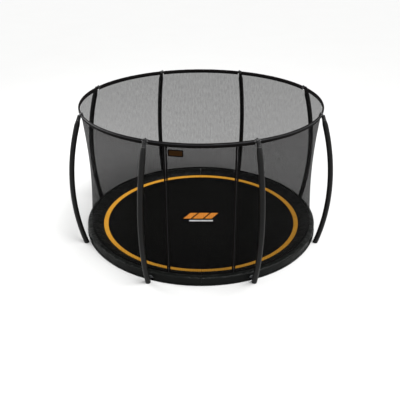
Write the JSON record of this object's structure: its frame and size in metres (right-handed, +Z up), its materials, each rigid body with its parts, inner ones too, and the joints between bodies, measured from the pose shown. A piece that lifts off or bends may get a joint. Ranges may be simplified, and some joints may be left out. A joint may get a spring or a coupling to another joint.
{
  "type": "garden trampoline",
  "caption": "Round in-ground garden trampoline: pit frame on short legs, sprung black mat, padded edge with an orange border, bowed foam-sleeved poles, hoop and safety net with a zipped door.",
  "frame": {"origin": "on the ground of the pit, under the middle of the mat, level with the legs' feet", "axes": "+Z up through the middle of the mat; -Y faces the front, where the net has its door; +X to the right seen from the front"},
  "size_m": [3.8118, 3.8118, 2.3096],
  "materials": {
    "galvanised_steel": "satin",
    "black_steel": "satin",
    "foam_cover": "satin",
    "cap_plastic": "matte",
    "spring_wire": "gloss",
    "pad_vinyl": "satin",
    "netting": "matte",
    "webbing": "matte",
    "mat_fabric": "matte",
    "zip_metal": "satin"
  },
  "bodies": {
    "frame": {"foam_sleeve_1": "foam_cover", "foam_sleeve_2": "foam_cover", "foam_sleeve_3": "foam_cover", "foam_sleeve_4": "foam_cover", "foam_sleeve_5": "foam_cover", "foam_sleeve_6": "foam_cover", "foam_sleeve_7": "foam_cover", "foam_sleeve_8": "foam_cover", "frame_rail_1": "galvanised_steel", "frame_rail_2": "galvanised_steel", "frame_rail_3": "galvanised_steel", "frame_rail_4": "galvanised_steel", "frame_rail_5": "galvanised_steel", "frame_rail_6": "galvanised_steel", "frame_rail_7": "galvanised_steel", "frame_rail_8": "galvanised_steel", "leg_back": "galvanised_steel", "leg_front": "galvanised_steel", "leg_left": "galvanised_steel", "leg_right": "galvanised_steel", "net_back_left": "netting", "net_back_right": "netting", "net_door": "netting", "net_front_left": "netting", "net_front_right": "netting", "pad_back_left": "pad_vinyl", "pad_back_right": "pad_vinyl", "pad_front_left": "pad_vinyl", "pad_front_right": "pad_vinyl", "pole_1": "black_steel", "pole_2": "black_steel", "pole_3": "black_steel", "pole_4": "black_steel", "pole_5": "black_steel", "pole_6": "black_steel", "pole_7": "black_steel", "pole_8": "black_steel", "pole_bracket_1": "black_steel", "pole_bracket_2": "black_steel", "pole_bracket_3": "black_steel", "pole_bracket_4": "black_steel", "pole_bracket_5": "black_steel", "pole_bracket_6": "black_steel", "pole_bracket_7": "black_steel", "pole_bracket_8": "black_steel", "pole_cap_1": "cap_plastic", "pole_cap_2": "cap_plastic", "pole_cap_3": "cap_plastic", "pole_cap_4": "cap_plastic", "pole_cap_5": "cap_plastic", "pole_cap_6": "cap_plastic", "pole_cap_7": "cap_plastic", "pole_cap_8": "cap_plastic", "spring_set": "spring_wire", "top_hoop": "black_steel", "zip_band_left": "webbing", "zip_band_right": "webbing"},
    "mat": {"jumping_mat": "mat_fabric"},
    "zip_left": {"zip_slider_left": "zip_metal"},
    "zip_right": {"zip_slider_right": "zip_metal"}
  },
  "joints": [
    {"name": "mat_bounce", "type": "slide", "parent": "frame", "child": "mat", "axis": [0, 0, 1], "range_m": [-0.2, 0], "stiffness_N_per_m": 5000, "springref_m": 0.02, "deforming": ["spring_set"]},
    {"name": "zip_left_slide", "type": "slide", "parent": "frame", "child": "zip_left", "axis": [0, 0, 1], "range_m": [0, 1.7]},
    {"name": "zip_right_slide", "type": "slide", "parent": "frame", "child": "zip_right", "axis": [0, 0, 1], "range_m": [0, 1.7]}
  ]
}
